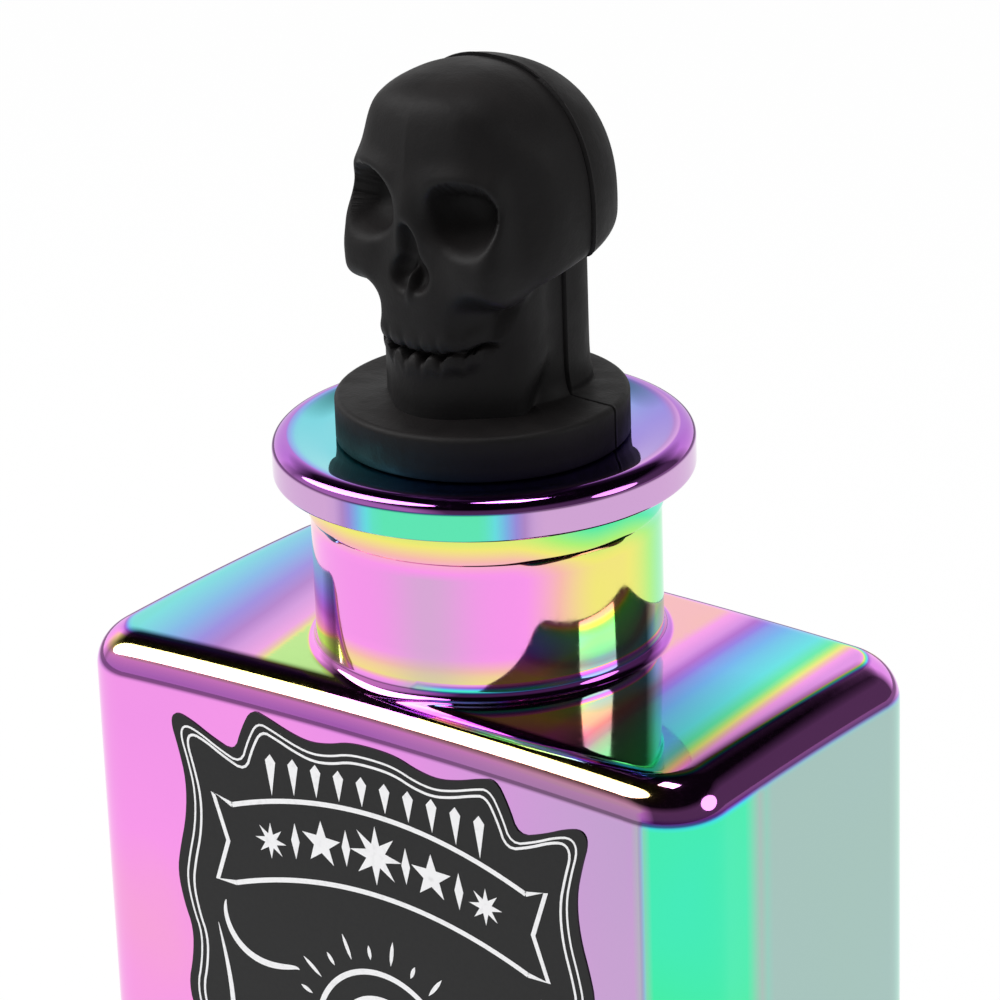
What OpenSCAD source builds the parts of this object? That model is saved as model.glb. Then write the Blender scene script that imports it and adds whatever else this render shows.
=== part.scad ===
// Flat-sided glass bottle with a flanged neck, a die-cut front label and a skull stopper.
// The stopper is a two-part moulded head, screwed to a plug that carries silicone seal rings.
// Z = 0 is the table. The neck axis is X = 0, Y = 0, and the label faces -Y. Millimetres.

/* [Bottle body] */
// Width of the body across its front
body_w = 100; // [92:1:112]
// Depth of the body from front to back
body_d = 55.5; // [54:0.5:66]
// Height of the body up to the middle of its shoulder
body_h = 140; // [120:1:170]
// Radius of the upright corners
corner_r = 9; // [7.5:0.5:12]
// Radius of the rounded edge round the shoulder
shoulder_r = 5.5; // [4:0.5:6.5]
// Radius of the rounded edge round the base
base_r = 4; // [2.5:0.5:5]
// Fall of the shoulder from its middle to each end
dome_x = 1.4; // [0.4:0.2:2.4]
// Fall of the shoulder from its middle to the front and back
dome_y = 0.6; // [0.2:0.1:1.2]
// Thickness of the glass in the upright walls
wall_t = 4; // [3:0.5:5]
// Thickness of the glass in the shoulder
shoulder_t = 6; // [5:0.5:8]
// Thickness of the glass in the base
base_t = 9; // [7:0.5:14]
// Width of the flat foot between the base's edge and its hollow
foot_w = 3; // [2:0.5:5]
// Depth of the hollow under the base
punt_h = 2.4; // [1:0.2:3.5]

/* [Bottle neck] */
// Radius of the neck
neck_r = 22.9; // [21.5:0.1:23.5]
// Height of the neck from the shoulder to the lip
neck_h = 23.2; // [18:0.2:28]
// Radius of the blend between neck and shoulder
neck_blend_r = 2.4; // [1.5:0.1:3]
// How far the band under the lip stands out from the neck
band_out = 0.35; // [0.2:0.05:0.6]
// Height of the band under the lip
band_h = 5; // [3:0.5:7]
// Radius of the lip
lip_r = 27.5; // [26:0.1:30]
// Height of the upright band of the lip
lip_band_h = 3.6; // [2.5:0.1:5]
// Height of the rounded bead above the lip's band
lip_bead_h = 1.8; // [1.2:0.1:2.4]
// Width of the rounded bead from the lip's outside to its ridge
lip_bead_w = 2.2; // [1.6:0.1:3]
// Depth of the shallow dish inside the ridge
dish_depth = 0.8; // [0.4:0.1:1.2]
// Radius of the flat seat for the stopper
seat_r = 20.4; // [19.8:0.1:22]
// Radius of the bore through the neck
bore_r = 16.8; // [15.5:0.1:17.5]

/* [Stopper head] */
// Radius of the disc under the skull
disc_r = 19.1; // [18.2:0.1:19.6]
// Thickness of the disc under the skull
disc_t = 5.9; // [4.5:0.1:8]
// Radius of the disc's rounded top edge
disc_edge_r = 0.8; // [0.4:0.1:1.4]
// Width of the skull
skull_w = 31.8; // [28:0.2:36]
// Length of the skull from brow to back
skull_l = 34; // [30:0.2:36]
// Height of the skull above the disc
skull_h = 43.3; // [38:0.2:52]
// Turn of the skull from the front, seen from above
skull_yaw = -3; // [-20:1:20]
// Distance of the joint between the halves behind the neck axis
joint_y = 4; // [3:0.2:5]
// How far the rear half stands proud at the joint
rear_proud = 0.45; // [0.1:0.05:0.5]

/* [Stopper plug] */
// Radius of the plug's core
core_r = 15.4; // [14:0.1:15.6]
// Length of the core below the disc
core_l = 21; // [18:0.5:26]
// Height of a seal ring
ring_h = 3; // [2:0.1:3.6]
// Distance between the middles of neighbouring seal rings
ring_pitch = 5.6; // [4.6:0.1:6]
// Depth of the first ring's middle below the disc
ring_first = 5; // [4:0.1:6]
// Depth of a ring's groove in the core
groove_depth = 1.6; // [1:0.1:2.2]
// Radius of the hollow for the screw's head
well_r = 6.5; // [5.5:0.1:8]
// Thickness of the core above the hollow
web_t = 5; // [4:0.1:7]
// Radius of the screw's shank
screw_r = 2; // [1.5:0.1:2.5]
// Depth of the screw in the head
screw_grip = 8; // [6:0.5:10]
// Radius of the screw's head
screw_head_r = 3.6; // [3.2:0.1:4]
// Height of the screw's head
screw_head_h = 2.4; // [2:0.1:3]
// Radius of the washer
washer_r = 5; // [4.4:0.1:5.4]
// Thickness of the washer
washer_t = 0.8; // [0.5:0.1:1.4]
// Radius of the cap under the plug
cap_r = 14.4; // [13:0.1:15]
// Thickness of the cap under the plug
cap_t = 1.6; // [1.2:0.1:2.4]
// Length of the cap's spigot
spigot_l = 3; // [2:0.1:4]
// Radius of a locating dowel
dowel_r = 1.5; // [1:0.1:2]
// Length of a locating dowel
dowel_l = 12; // [9:0.5:13]
// Height of the lower dowel above the disc
dowel_low = 9; // [8:0.5:12]
// Distance between the two dowels
dowel_gap = 15; // [12:0.5:18]

/* [Label] */
// Width of the label between the tips of its horns
label_w = 66; // [56:1:70]
// Height of the label between its peaks
label_h = 88; // [78:1:92]
// Thickness of the label
label_t = 0.2; // [0.1:0.05:0.3]
// How far the label's peaks reach up past the foot of the shoulder's edge
label_lap = 0.6; // [-4:0.1:0.6]
// Distance of the label's middle to the right of the body's middle
label_shift = 1.6; // [-4:0.1:4]
// Rounding of the label's outline
label_round = 0.9; // [0.5:0.1:1.2]

/* [Clearances] */
// Gap between the seal rings and the bore
bore_clear = 0.1; // [0.05:0.01:0.1]
// Gap between the seal rings and their grooves
groove_clear = 0.05; // [0.05:0.01:0.1]
// Gap between the disc and its seat
seat_clear = 0.15; // [0.1:0.05:0.3]
// Gap round screw, washer, dowels and spigot
fit_clear = 0.1; // [0.05:0.01:0.2]

/* [Hidden] */
$fn = 96;

glass_colour = [0.78, 0.45, 0.80];
head_colour = [0.10, 0.10, 0.11];
label_colour = [0.13, 0.13, 0.13];
core_colour = [0.16, 0.16, 0.17];
ring_colour = [0.82, 0.82, 0.80];
steel_colour = [0.70, 0.71, 0.73];

// Segments of a corner, of a long side and of a short side of the body's outline
corner_steps = 8;
long_steps = 8;
short_steps = 3;
// Steps of the rounded edges and of the surface between the edge and the neck
edge_steps = 6;
shoulder_steps = 4;
// Radius at which the shoulder's surface ends, under the neck
shoulder_in = neck_r - 3;
// Size of the flat middle of the hollow under the base, as a share of the foot's inside
push_share = 0.82;

lip_z = body_h + neck_h;
ridge_z = lip_z + lip_band_h + lip_bead_h;
seat_z = ridge_z - dish_depth;
disc_z = seat_z + seat_clear;
head_z = disc_z + disc_t;

ring_count = 3;
groove_r = core_r - groove_depth;
ring_in = groove_r + groove_clear;
ring_out = bore_r - bore_clear;
ring_round = 1;
well_z = disc_z - web_t;
core_z = disc_z - core_l;

// Coordinates at which the skull's forms are drawn, and the scale from them to its real size
skull_ref = [31.8, 34, 43.3];
skull_scale = [skull_w / skull_ref.x, skull_l / skull_ref.y, skull_h / skull_ref.z];
front_steps = 52;
rear_steps = 28;
low_levels = 30;
top_levels = 22;
// Height of the level where horizontal rays give way to rays that rise to the crown
fan_z = 22;
ray_max = 30;
halvings = 9;

function mix(a, b, t) = a * (1 - t) + b * t;
function limit(v, low, high) = min(max(v, low), high);
function ease(a, b, v) = let (t = limit((v - a) / (b - a), 0, 1)) t * t * (3 - 2 * t);

// Faces of a stack of rings, each with n points that run anticlockwise from above, with flat ends.
// An end's face starts in the middle of a corner, so that no two of its sides there are in line.
function stack_faces(rings, n) = concat(
    [for (k = [0 : rings - 2]) for (i = [0 : n - 1])
        let (a = k * n + i, b = k * n + (i + 1) % n) each [[a, b + n, b], [a, a + n, b + n]]],
    [[for (i = [0 : n - 1]) (i + corner_steps / 2) % n]],
    [[for (i = [n : -1 : 1]) (rings - 1) * n + (i + corner_steps / 2) % n]]);

// Outline of a rounded rectangle as [x, y, normal x, normal y], with extra points on its sides
function rim(w, d, r) = [for (k = [0 : 3])
    let (sx = [1, -1, -1, 1], sy = [1, 1, -1, -1], next = (k + 1) % 4,
         steps = k % 2 == 0 ? long_steps : short_steps,
         turn = 90 * (k + 1), out = [cos(turn), sin(turn)],
         here = [sx[k] * (w / 2 - r), sy[k] * (d / 2 - r)],
         there = [sx[next] * (w / 2 - r), sy[next] * (d / 2 - r)])
    each concat(
        [for (i = [0 : corner_steps]) let (a = 90 * k + 90 * i / corner_steps)
            [here.x + r * cos(a), here.y + r * sin(a), cos(a), sin(a)]],
        [for (i = [1 : steps - 1]) let (p = mix(here, there, i / steps) + r * out)
            [p.x, p.y, out.x, out.y]])];

function inset(p, e) = [p[0] - p[2] * e, p[1] - p[3] * e];
function fall(p) = dome_x * pow(2 * p.x / body_w, 2) + dome_y * pow(2 * p.y / body_d, 2);
function lift_to(p, z) = [p.x, p.y, z];

// Rings of the rounded upper edge and of the domed surface that runs in to a circle of radius r
function shoulder_rings(outline, h, edge, r) = concat(
    [for (k = [0 : edge_steps]) let (a = 90 * k / edge_steps)
        [for (p = outline) let (q = inset(p, edge * (1 - cos(a))))
            lift_to(q, h - edge * (1 - sin(a)) - fall(q))]],
    [for (k = [1 : shoulder_steps - 1])
        [for (p = outline)
            let (q = inset(p, edge), c = r * q / norm(q), s = mix(q, c, k / shoulder_steps))
            lift_to(s, h - fall(s))]],
    [[for (p = outline) let (q = inset(p, edge)) lift_to(r * q / norm(q), h - dome_y / 2)]]);

function low_edge_rings(outline, z, edge) = [for (k = [0 : edge_steps]) let (a = 90 * k / edge_steps)
    [for (p = outline) lift_to(inset(p, edge * (1 - sin(a))), z + edge * (1 - cos(a)))]];

module body_solid() {
    outline = rim(body_w, body_d, corner_r);
    foot = [for (p = outline) inset(p, base_r + foot_w)];
    rings = concat(
        [[for (q = foot) lift_to(push_share * q, punt_h)], [for (q = foot) lift_to(q, 0)]],
        low_edge_rings(outline, 0, base_r),
        shoulder_rings(outline, body_h, shoulder_r, shoulder_in));
    polyhedron([for (ring = rings) each ring], stack_faces(len(rings), len(outline)));
}

// The inside of the body, with rounded corners and edges
module body_hollow() {
    inner_r = corner_r - wall_t;
    edge = min(base_r, inner_r);
    outline = rim(body_w - 2 * wall_t, body_d - 2 * wall_t, inner_r);
    rings = concat(
        low_edge_rings(outline, base_t, edge),
        shoulder_rings(outline, body_h - shoulder_t, edge, bore_r - 2));
    polyhedron([for (ring = rings) each ring], stack_faces(len(rings), len(outline)));
}

// Points of an arc about c, from angle a0 to a1
function arc(c, r, a0, a1, steps) = [for (i = [0 : steps]) let (a = mix(a0, a1, i / steps))
    c + r * [cos(a), sin(a)]];

module neck_solid() {
    blend = neck_blend_r;
    foot = arc([neck_r + blend, body_h + blend], blend, 240, 180, 5);
    foot_out = foot[0] + 1.2 * [cos(-30), sin(-30)];
    ridge_r = lip_r - lip_bead_w;
    bead = [for (i = [0 : 6]) let (a = 90 * i / 6)
        [ridge_r + lip_bead_w * cos(a), lip_z + lip_band_h + lip_bead_h * sin(a)]];
    rotate_extrude()
        polygon(concat(
            [[0, body_h - shoulder_t / 2], [neck_r - 1, body_h - shoulder_t / 2],
             [foot_out.x, foot_out.y - 1.6], foot_out],
            foot,
            [[neck_r, lip_z - band_h], [neck_r + band_out, lip_z - band_h + band_out],
             [neck_r + band_out, lip_z], [lip_r - 0.4, lip_z], [lip_r, lip_z + 0.4]],
            bead,
            [[seat_r, seat_z], [0, seat_z]]));
}

// The bore, which widens a little where it enters the body
module neck_bore() {
    mouth = 0.5;
    flare = 3.5;
    ceiling = body_h - shoulder_t;
    rotate_extrude()
        polygon([[0, ceiling - 1], [bore_r + flare, ceiling - 1], [bore_r + flare - 1, ceiling],
                 [bore_r, ceiling + shoulder_t / 2], [bore_r, seat_z - mouth],
                 [bore_r + mouth, seat_z], [bore_r + mouth, seat_z + 1], [0, seat_z + 1]]);
}

module bottle_glass() {
    color(glass_colour)
        difference() {
            union() {
                body_solid();
                neck_solid();
            }
            body_hollow();
            neck_bore();
        }
}

// Right-hand upper quarter of the label's outline, from its top middle to its side middle.
// Coordinates are shares of half the width between the horns and half the height.
label_quarter = [[0, 0.985], [0.12, 0.98], [0.22, 0.955], [0.32, 0.945], [0.42, 0.96], [0.52, 0.985],
                 [0.60, 1], [0.655, 0.93], [0.70, 0.84], [0.82, 0.87], [0.92, 0.905], [1, 0.92],
                 [1.03, 0.885], [0.995, 0.80], [0.965, 0.70], [0.975, 0.58], [1.02, 0.46],
                 [1.04, 0.38], [1.015, 0.28], [0.975, 0.20], [0.985, 0.10], [1.02, 0]];

module label_outline() {
    quarter = [for (p = label_quarter) [p.x * label_w / 2, p.y * label_h / 2]];
    last = len(quarter) - 1;
    offset(r = label_round, $fn = 24)
        offset(delta = -label_round)
            polygon(concat(
                [for (i = [0 : last]) quarter[i]],
                [for (i = [last - 1 : -1 : 0]) [quarter[i].x, -quarter[i].y]],
                [for (i = [1 : last]) [-quarter[i].x, -quarter[i].y]],
                [for (i = [last - 1 : -1 : 1]) [-quarter[i].x, quarter[i].y]]));
}

module front_label() {
    label_top = body_h - shoulder_r - dome_y + label_lap;
    color(label_colour)
        translate([label_shift, -body_d / 2, label_top - label_h / 2])
            rotate([90, 0, 0])
                linear_extrude(label_t)
                    label_outline();
}

// Signed measure of a superellipsoid with middle c, half sizes s and power n
function form(p, c, s, n) = (pow(pow(abs(p.x - c.x) / s.x, n) + pow(abs(p.y - c.y) / s.y, n)
    + pow(abs(p.z - c.z) / s.z, n), 1 / n) - 1) * min(s);
function join(a, b, k) = min(a, b) - pow(max(k - abs(a - b), 0), 2) / (4 * k);
function cut(a, b, k) = -join(-a, b, k);
function both(a, b, k) = -join(-a, -b, k);

// The skull's braincase with its brow, cheekbones, upper jaw and nose
function cranium(p) =
    let (case = form(p, [0, 1, 24.8], [15.9, 17, 18.3], 2.25),
         forehead = form(p, [0, -3.2, 31], [11.4, 10.8, 12.2], 2.7),
         underside = 16.2 + 0.22 * (p.y + 9) - p.z,
         face = 0.22 * p.x - p.y - 13.7,
         flank = 0.76 * p.x - 0.65 * p.y + 0.14 * p.z - 18.9,
         brow = form(p, [4.9, -9, 30.2], [5.4, 4.3, 3.7], 2.2),
         cheek = form(p, [8.8, -8, 19], [4, 4.9, 4.3], 2.8),
         orbit_rim = form(p, [11.2, -8.6, 25], [1.8, 3, 5.8], 2),
         upper_jaw = form(p, [0, -5, 13.5], [8.8, 8.5, 9.5], 2.8),
         nose = form(p, [0, -10.9, 26], [2.3, 3.4, 4.6], 2),
         shell = both(both(join(both(case, underside, 2), forehead, 1.5), face, 3), flank, 1.5))
    join(join(join(join(join(shell, brow, 2), cheek, 2), orbit_rim, 1.5), upper_jaw, 1.6), nose, 1.6);

// The lower jaw: a tapering bow that rises at the back to the joint under the ear
function lower_jaw(p) =
    let (side = 0.679 * (p.x - 4) - 0.734 * (p.y + 12.6),
         rear = 0.846 * (p.x - 12) + 0.533 * (p.y + 5.2 - 4.4 * ease(0, 8, p.z)),
         bow = both(both(side, -p.y - 13.4, 2.5), rear, 1.6),
         rise = p.z - 8 - limit(2 * (p.y + 9), 0, 11))
    both(both(both(bow, p.x - 11.6, 1.5), p.y - 8, 1.5), rise, 1.6);

function neck_stem(p) =
    let (round = (pow(pow(p.x / 10.6, 2.3) + pow(abs(p.y - 4.6) / 9.5, 2.3), 1 / 2.3) - 1) * 9.5)
    both(round - exp(-p.z / 1.2), p.z - 24, 2);

// All of the skull, with its eye sockets, temples, cheek hollows, nose opening and mouth line
function skull_field(p0) =
    let (p = [abs(p0.x), p0.y, p0.z],
         whole = join(join(cranium(p), lower_jaw(p), 1), neck_stem(p), 1),
         socket = form(p, [7.5, -14.4, 27.2], [4.8, 7.8, 4.4], 2.2),
         temple = form(p, [17.2, -10.5, 30], [3.6, 6, 7], 2),
         cheek_hollow = form(p, [9.8, -13.6, 12.6], [3, 4.6, 3.8], 2),
         nose_opening = form(p, [0, -14.9, 20.4], [2.6, 3.8, 4.2], 2),
         mouth = both(abs(p.z - 8.4 - 0.018 * p.x * p.x) - 0.4, p.y + 7.2, 0.5),
         carved = cut(cut(cut(cut(whole, socket, 1.4), temple, 3), cheek_hollow, 2),
             nose_opening, 0.8))
    cut(carved, both(mouth, -(carved + 1), 0.3), 0.4);

// Distance along a ray from o towards d at which the skull's surface lies
function reach(o, d, low, high, n) =
    let (middle = (low + high) / 2)
    n == 0 ? middle
    : skull_field(o + middle * d) < 0 ? reach(o, d, middle, high, n - 1)
    : reach(o, d, low, middle, n - 1);

joint_ref = joint_y / skull_scale.y;
function skull_point(angle, level, proud) =
    let (rise = level > 1 ? 90 * (level - 1) : 0,
         o = [0, joint_ref, fan_z * min(level, 1)],
         d = [cos(angle) * cos(rise), sin(angle) * cos(rise), sin(rise)],
         r = reach(o, d, 0, ray_max, halvings) + proud,
         p = o + r * d)
    [p.x * skull_scale.x, p.y * skull_scale.y, p.z * skull_scale.z];

// The part of the disc on one side of the joint
module half_disc(side) {
    e = disc_edge_r;
    intersection() {
        rotate_extrude()
            polygon(concat([[0, -disc_t], [disc_r, -disc_t]],
                arc([disc_r - e, -e], e, 0, 90, 4), [[0, 0]]));
        translate([-disc_r - 1, side > 0 ? joint_y : joint_y - 3 * disc_r, -disc_t - 1])
            cube([2 * disc_r + 2, 3 * disc_r, disc_t + 2]);
    }
}

// One half of the skull: levels of points from inside the disc up to the crown
module head_half(a0, a1, steps, proud) {
    angles = [for (i = [0 : steps]) mix(a0, a1, i / steps)];
    sunk = [[for (a = angles) skull_point(a, 0, 0) - [0, 0, disc_t / 2]]];
    low = [for (k = [0 : low_levels - 1])
        [for (a = angles) skull_point(a, k / low_levels, proud * ease(0, 0.1, k / low_levels))]];
    high = [for (k = [0 : top_levels - 1])
        [for (a = angles) skull_point(a, 1 + k / top_levels, proud)]];
    levels = concat(sunk, low, high);
    n = steps + 1;
    m = len(levels);
    apex = m * n;
    polyhedron(
        concat([for (l = levels) each l], [skull_point(a0, 2, proud)]),
        concat(
            [for (k = [0 : m - 2]) for (i = [0 : n - 2]) let (a = k * n + i)
                each [[a, a + n + 1, a + 1], [a, a + n, a + n + 1]]],
            [for (i = [0 : n - 2]) [(m - 1) * n + i, apex, (m - 1) * n + i + 1]],
            [[for (i = [0 : n - 1]) i]],
            [for (k = [0 : m - 2]) let (left = k * n, right = k * n + n - 1)
                each [[left + n, left, right], [left + n, right, right + n]]],
            [[(m - 1) * n, m * n - 1, apex]]));
}

module in_head() {
    translate([0, 0, head_z])
        rotate([0, 0, skull_yaw])
            children();
}

module dowel(z, r, l) {
    translate([0, joint_y, z])
        rotate([90, 0, 0])
            cylinder(h = l, r = r, center = true);
}

module head_bores() {
    dowel(dowel_low, dowel_r + fit_clear, dowel_l + 2 * fit_clear);
    dowel(dowel_low + dowel_gap, dowel_r + fit_clear, dowel_l + 2 * fit_clear);
    translate([0, 0, -disc_t - 1])
        cylinder(h = screw_grip + 1 + fit_clear, r = screw_r + fit_clear);
}

module skull_front() {
    color(head_colour)
        in_head()
            difference() {
                union() {
                    head_half(-180, 0, front_steps, 0);
                    half_disc(-1);
                }
                head_bores();
            }
}

module skull_rear() {
    color(head_colour)
        in_head()
            difference() {
                union() {
                    head_half(0, 180, rear_steps, rear_proud);
                    half_disc(1);
                }
                head_bores();
            }
}

module dowel_lower() {
    color(steel_colour) in_head() dowel(dowel_low, dowel_r, dowel_l);
}

module dowel_upper() {
    color(steel_colour) in_head() dowel(dowel_low + dowel_gap, dowel_r, dowel_l);
}

function ring_z(i) = disc_z - ring_first - i * ring_pitch;

module plug_core() {
    groove_h = ring_h + 2 * groove_clear;
    grooves = [for (i = [0 : ring_count - 1]) let (z = ring_z(i))
        each [[core_r, z + groove_h / 2], [groove_r, z + groove_h / 2],
              [groove_r, z - groove_h / 2], [core_r, z - groove_h / 2]]];
    lead = 0.8;
    color(core_colour)
        rotate_extrude()
            polygon(concat(
                [[screw_r + fit_clear, disc_z], [core_r, disc_z]],
                grooves,
                [[core_r, core_z + lead], [core_r - lead, core_z], [well_r, core_z],
                 [well_r, well_z], [screw_r + fit_clear, well_z]]));
}

module seal_ring(i) {
    r = min(ring_round, ring_h / 2 - 0.2);
    h = ring_h / 2;
    color(ring_colour)
        translate([0, 0, ring_z(i)])
            rotate_extrude()
                polygon(concat(
                    [[ring_in, -h]],
                    arc([ring_out - r, r - h], r, -90, 0, 5),
                    arc([ring_out - r, h - r], r, 0, 90, 5),
                    [[ring_in, h]]));
}

module seal_ring_upper() seal_ring(0);
module seal_ring_middle() seal_ring(1);
module seal_ring_lower() seal_ring(2);

module screw_washer() {
    color(steel_colour)
        translate([0, 0, well_z - washer_t])
            difference() {
                cylinder(h = washer_t, r = washer_r);
                translate([0, 0, -1]) cylinder(h = washer_t + 2, r = screw_r + fit_clear);
            }
}

module head_screw() {
    socket_r = screw_head_r * 0.48;
    head_top = well_z - washer_t;
    color(steel_colour)
        difference() {
            union() {
                translate([0, 0, head_top - screw_head_h]) cylinder(h = screw_head_h, r = screw_head_r);
                translate([0, 0, head_top]) cylinder(h = disc_z + screw_grip - head_top, r = screw_r);
            }
            translate([0, 0, head_top - screw_head_h - 1])
                cylinder(h = screw_head_h * 0.6 + 1, r = socket_r, $fn = 6);
        }
}

module plug_cap() {
    lead = 0.6;
    color(core_colour)
        translate([0, 0, core_z])
            rotate_extrude()
                polygon([[0, -cap_t], [cap_r - lead, -cap_t], [cap_r, lead - cap_t], [cap_r, 0],
                         [well_r - fit_clear, 0], [well_r - fit_clear, spigot_l], [0, spigot_l]]);
}

bottle_glass();
front_label();
skull_front();
skull_rear();
dowel_lower();
dowel_upper();
plug_core();
seal_ring_upper();
seal_ring_middle();
seal_ring_lower();
head_screw();
screw_washer();
plug_cap();
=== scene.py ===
"""A flat-sided bottle with a rainbow film on its glass, a die-cut black label and a black skull stopper.

Each piece is a surface worked out with numpy in millimetres and put into the model in metres. Z is up, the neck's
axis is X = 0, Y = 0, and the label faces -Y.
"""

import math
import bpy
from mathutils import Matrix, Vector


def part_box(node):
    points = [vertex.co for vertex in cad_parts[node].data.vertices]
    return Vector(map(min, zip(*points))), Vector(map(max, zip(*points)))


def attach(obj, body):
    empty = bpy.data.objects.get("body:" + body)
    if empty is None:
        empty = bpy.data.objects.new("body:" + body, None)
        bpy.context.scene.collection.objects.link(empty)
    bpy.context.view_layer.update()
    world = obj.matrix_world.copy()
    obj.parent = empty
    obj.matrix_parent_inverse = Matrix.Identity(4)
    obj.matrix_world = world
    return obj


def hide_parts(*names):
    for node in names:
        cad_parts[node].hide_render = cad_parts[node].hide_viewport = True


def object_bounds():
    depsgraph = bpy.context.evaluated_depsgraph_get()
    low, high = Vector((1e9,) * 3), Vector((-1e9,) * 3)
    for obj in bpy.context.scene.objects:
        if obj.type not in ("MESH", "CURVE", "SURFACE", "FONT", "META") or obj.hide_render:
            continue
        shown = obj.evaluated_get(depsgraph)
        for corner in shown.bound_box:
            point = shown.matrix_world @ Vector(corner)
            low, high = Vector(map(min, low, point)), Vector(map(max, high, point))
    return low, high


bl_info = {
    "name": "Skull Stopper Bottle",
    "version": (1, 0, 0),
    "blender": (4, 5, 0),
    "location": "3D View > Sidebar > Bottle",
    "description": "Builds the glass, the label, the stopper and the studio of a rainbow bottle",
    "category": "Object",
}

import bpy
import numpy as np
from bpy.props import FloatProperty, FloatVectorProperty, PointerProperty
from mathutils import Matrix, Vector

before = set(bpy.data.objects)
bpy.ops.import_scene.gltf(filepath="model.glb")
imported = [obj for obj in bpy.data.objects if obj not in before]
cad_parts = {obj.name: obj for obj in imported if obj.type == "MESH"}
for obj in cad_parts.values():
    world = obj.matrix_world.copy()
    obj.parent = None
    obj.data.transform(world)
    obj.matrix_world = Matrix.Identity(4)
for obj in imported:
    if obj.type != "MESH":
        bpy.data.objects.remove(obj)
CAD_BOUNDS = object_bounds()
MM = 0.001
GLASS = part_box("bottle_glass")
DISC_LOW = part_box("skull_front")[0][2] / MM


def length(name, description, default):
    return FloatProperty(name=name, description=description, default=default, unit="LENGTH", subtype="DISTANCE")


def colour(name, description, default):
    return FloatVectorProperty(name=name, description=description, default=default, size=3, min=0, max=1, subtype="COLOR")


class BottleSizes(bpy.types.PropertyGroup):
    width: length("Width", "Width of the body across its front", GLASS[1][0] - GLASS[0][0])
    depth: length("Depth", "Depth of the body from front to back", GLASS[1][1] - GLASS[0][1])
    shoulder: length("Shoulder height", "Height of the middle of the shoulder", 0.140)
    corner: length("Corner", "Radius of the upright corners", 0.009)
    edge: length("Shoulder edge", "Radius of the rounded edge round the shoulder", 0.0055)
    foot: length("Base edge", "Radius of the rounded edge round the base", 0.004)
    wall: length("Wall", "Thickness of the glass in the walls", 0.004)
    floor: length("Floor", "Thickness of the glass in the base", 0.009)
    roof: length("Roof", "Thickness of the glass in the shoulder", 0.006)
    neck: length("Neck", "Radius of the neck", 0.0229)
    blend: length("Blend", "Radius of the blend at the foot of the neck", 0.0014)
    lip: length("Lip", "Radius of the lip", 0.0275)
    bore: length("Bore", "Radius of the bore", 0.0168)


class StopperSizes(bpy.types.PropertyGroup):
    disc: length("Disc", "Radius of the disc under the skull", 0.0191)
    disc_height: length("Disc height", "Thickness of the disc under the skull", 0.0059)
    proud: length("Proud", "How far the rear half stands out at the joint", 0.00045)
    seam: length("Seam", "Width and depth of the bevel along the joint", 0.00024)
    yaw: FloatProperty(name="Turn", description="Turn of the skull from the front", default=math.radians(-3), subtype="ANGLE")


class LabelSizes(bpy.types.PropertyGroup):
    width: length("Width", "Width of the label between its horns", 0.066)
    height: length("Height", "Height of the label between its peaks", 0.088)
    film: length("Film", "Thickness of the label's film", 0.00016)
    ink: length("Ink", "Thickness of the printed lines", 0.00003)


class FinishColours(bpy.types.PropertyGroup):
    silver: colour("Pale film", "Colour of the film where it is washed out", (0.42, 0.49, 0.49))
    resin: colour("Skull", "Colour of the skull", (0.0045, 0.0042, 0.0046))
    # Painted top light: the paler, warmer colour that the skull's upward faces are mixed towards.
    painted_top_light: colour("Skull tops", "Colour of the skull's upward faces", (0.017, 0.0135, 0.013))
    label: colour("Label", "Colour of the label", (0.010, 0.010, 0.0105))
    ink: colour("Ink", "Colour of the printed lines", (0.85, 0.85, 0.86))


def mix(a, b, t):
    """a where t is 0, b where t is 1, and straight between."""
    return a * (1 - t) + b * t


def ease(low, high, v):
    """0 below low, 1 above high, and the smooth cubic 3t^2 - 2t^3 between."""
    t = np.clip((v - low) / (high - low), 0, 1)
    return t * t * (3 - 2 * t)


def grid_quads(rows, columns, closed):
    """Quads between neighbouring rows and columns, whose normals are column step x row step."""
    k = np.arange(rows * columns).reshape(rows, columns)
    right = np.roll(k, -1, 1) if closed else k[:, 1:]
    left = k if closed else k[:, :-1]
    return np.stack([left[:-1], right[:-1], right[1:], left[1:]], -1).reshape(-1, 4).tolist()


def add_piece(name, points, faces, material, body, nodes=(), sharp=None):
    """Puts points in millimetres and their faces into one object that rides on a body."""
    mesh = bpy.data.meshes.new(name)
    mesh.from_pydata((np.asarray(points, float) * MM).tolist(), [], faces)
    mesh.update()
    if sharp is None:
        mesh.shade_smooth()
    else:
        mesh.set_sharp_from_angle(angle=math.radians(sharp))
    mesh.materials.append(material)
    piece = bpy.data.objects.new(name, mesh)
    bpy.context.scene.collection.objects.link(piece)
    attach(piece, body)
    if nodes:
        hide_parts(*nodes)
    return piece


# Glass


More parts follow.
